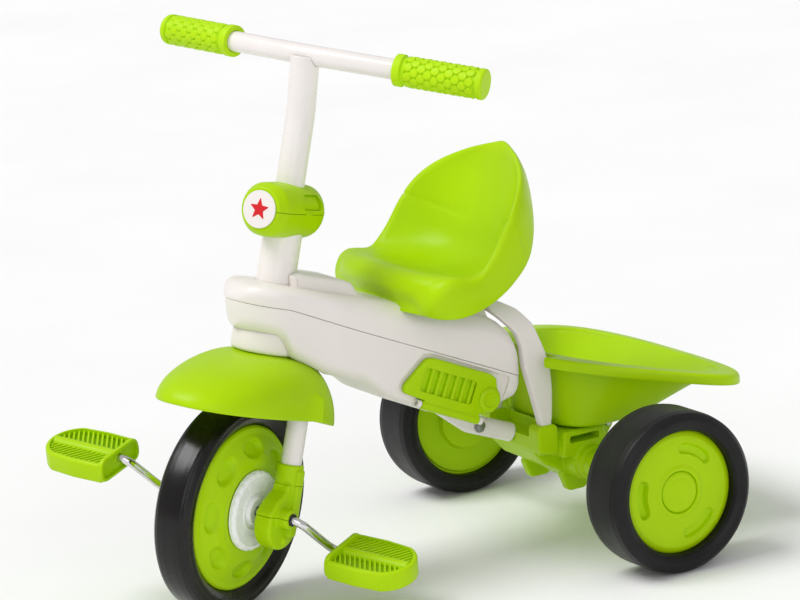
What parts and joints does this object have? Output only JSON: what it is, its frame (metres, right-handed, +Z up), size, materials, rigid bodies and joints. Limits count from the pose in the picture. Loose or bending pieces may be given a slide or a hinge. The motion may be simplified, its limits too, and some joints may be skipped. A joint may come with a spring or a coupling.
{
  "type": "children's tricycle",
  "caption": "Low tricycle for a small child: pedalled front wheel on a steered fork, sloping body, bucket seat, fold-down footrests and a tipping rear bucket.",
  "frame": {"origin": "on the ground, at the middle of the overall box in plan", "axes": "+Z up, the front faces -Y, the rider's left is +X"},
  "size_m": [0.4968, 0.7364, 0.6068],
  "materials": {
    "green_plastic": "satin gloss",
    "grip_rubber": "matte",
    "white_plastic": "satin gloss",
    "white_paint": "gloss",
    "tyre": "satin",
    "hub_grey": "satin",
    "chrome": "polished",
    "steel": "zinc plated",
    "black_nylon": "matte"
  },
  "bodies": {
    "frame": {"head_tube": "white_paint", "head_bush_lower": "black_nylon", "head_bush_upper": "black_nylon", "head_collar": "white_plastic", "body_upper": "white_plastic", "body_lower": "white_plastic", "spine_tube": "white_paint", "spine_bolt": "steel", "rear_hoop": "white_plastic", "axle_housing": "green_plastic", "rear_axle": "steel", "axle_sleeve_left": "white_paint", "axle_sleeve_right": "white_paint", "footrest_pin_left": "steel", "footrest_pin_right": "steel", "bucket_pin": "steel"},
    "fork": {"steerer_tube": "white_paint", "stem_bush": "black_nylon", "fork_crown": "white_paint", "fork_leg_left": "white_paint", "fork_leg_right": "white_paint", "front_fender": "green_plastic", "axle_block_left": "green_plastic", "axle_block_right": "green_plastic", "axle_cap_left": "green_plastic", "axle_cap_right": "green_plastic", "axle_bush_left": "black_nylon", "axle_bush_right": "black_nylon", "collar_upper": "green_plastic", "collar_lower": "green_plastic", "badge_disc": "white_plastic"},
    "handlebar": {"handlebar_tube": "white_paint", "upper_stem": "white_paint", "grip_left": "grip_rubber", "grip_right": "grip_rubber"},
    "button": {"release_button": "green_plastic", "button_spring": "steel"},
    "front_wheel": {"front_tyre": "tyre", "front_disc_left": "green_plastic", "front_disc_right": "green_plastic", "front_hub": "hub_grey", "hub_cover_right": "hub_grey"},
    "dial": {"clutch_dial": "hub_grey"},
    "crank": {"crank_axle": "chrome"},
    "left_pedal": {"pedal_left": "green_plastic"},
    "right_pedal": {"pedal_right": "green_plastic"},
    "left_footrest": {"footrest_left": "green_plastic"},
    "right_footrest": {"footrest_right": "green_plastic"},
    "left_rear_wheel": {"rear_tyre_left": "tyre", "rear_disc_left": "green_plastic", "rear_hub_left": "green_plastic", "rear_cap_left": "green_plastic"},
    "right_rear_wheel": {"rear_tyre_right": "tyre", "rear_disc_right": "green_plastic", "rear_hub_right": "green_plastic", "rear_cap_right": "green_plastic"},
    "bucket": {"bucket": "green_plastic"},
    "seat": {"seat": "green_plastic", "seat_bracket": "black_nylon"},
    "knob": {"seat_knob": "black_nylon"}
  },
  "joints": [
    {"name": "steering", "type": "hinge", "parent": "frame", "child": "fork", "pos_m": [0, -0.2341, 0.0012], "axis": [0, 0.2661, 0.964], "range_deg": [-69.6, 14.4]},
    {"name": "handlebar_height", "type": "slide", "parent": "fork", "child": "handlebar", "axis": [0, 0.2661, 0.964], "range_m": [-0.02, 0.04]},
    {"name": "release_press", "type": "slide", "parent": "fork", "child": "button", "axis": [-0.8862, -0.4466, 0.1233], "range_m": [0, 0.003], "stiffness_N_per_m": 600, "springref_m": -0.002},
    {"name": "front_wheel_spin", "type": "hinge", "parent": "fork", "child": "front_wheel", "pos_m": [0.00982, -0.22196, 0.1158], "axis": [0.8862, 0.4466, -0.1233], "continuous": true},
    {"name": "crank_spin", "type": "hinge", "parent": "fork", "child": "crank", "pos_m": [0.00982, -0.22196, 0.1158], "axis": [0.8862, 0.4466, -0.1233], "continuous": true},
    {"name": "clutch_turn", "type": "hinge", "parent": "front_wheel", "child": "dial", "pos_m": [0.03641, -0.20856, 0.1121], "axis": [0.8862, 0.4466, -0.1233], "range_deg": [0, 40]},
    {"name": "left_pedal_spin", "type": "hinge", "parent": "crank", "child": "left_pedal", "pos_m": [0.1218, -0.11396, 0.05466], "axis": [0.8862, 0.4466, -0.1233], "continuous": true},
    {"name": "right_pedal_spin", "type": "hinge", "parent": "crank", "child": "right_pedal", "pos_m": [-0.10215, -0.32996, 0.17694], "axis": [0.8862, 0.4466, -0.1233], "continuous": true},
    {"name": "left_footrest_fold", "type": "hinge", "parent": "frame", "child": "left_footrest", "pos_m": [0.0565, 0.01793, 0.17863], "axis": [0, 0.9095, -0.4157], "range_deg": [0, 90]},
    {"name": "right_footrest_fold", "type": "hinge", "parent": "frame", "child": "right_footrest", "pos_m": [-0.0565, 0.01793, 0.17863], "axis": [0, -0.9095, 0.4157], "range_deg": [0, 90]},
    {"name": "left_rear_wheel_spin", "type": "hinge", "parent": "frame", "child": "left_rear_wheel", "pos_m": [0.2154, 0.1927, 0.0875], "axis": [1, 0, 0], "continuous": true},
    {"name": "right_rear_wheel_spin", "type": "hinge", "parent": "frame", "child": "right_rear_wheel", "pos_m": [-0.2154, 0.1927, 0.0875], "axis": [1, 0, 0], "continuous": true},
    {"name": "bucket_tip", "type": "hinge", "parent": "frame", "child": "bucket", "pos_m": [0, 0.2327, 0.119], "axis": [-1, 0, 0], "range_deg": [0, 45]},
    {"name": "seat_slide", "type": "slide", "parent": "frame", "child": "seat", "axis": [0, 1, 0], "range_m": [0, 0.03]},
    {"name": "seat_knob_turn", "type": "hinge", "parent": "seat", "child": "knob", "pos_m": [0, 0.088, 0.297], "axis": [0, 1, 0], "range_deg": [0, 180]}
  ],
  "couplings": [
    {"joint": "crank_spin", "follows": "front_wheel_spin", "ratio": 1}
  ]
}
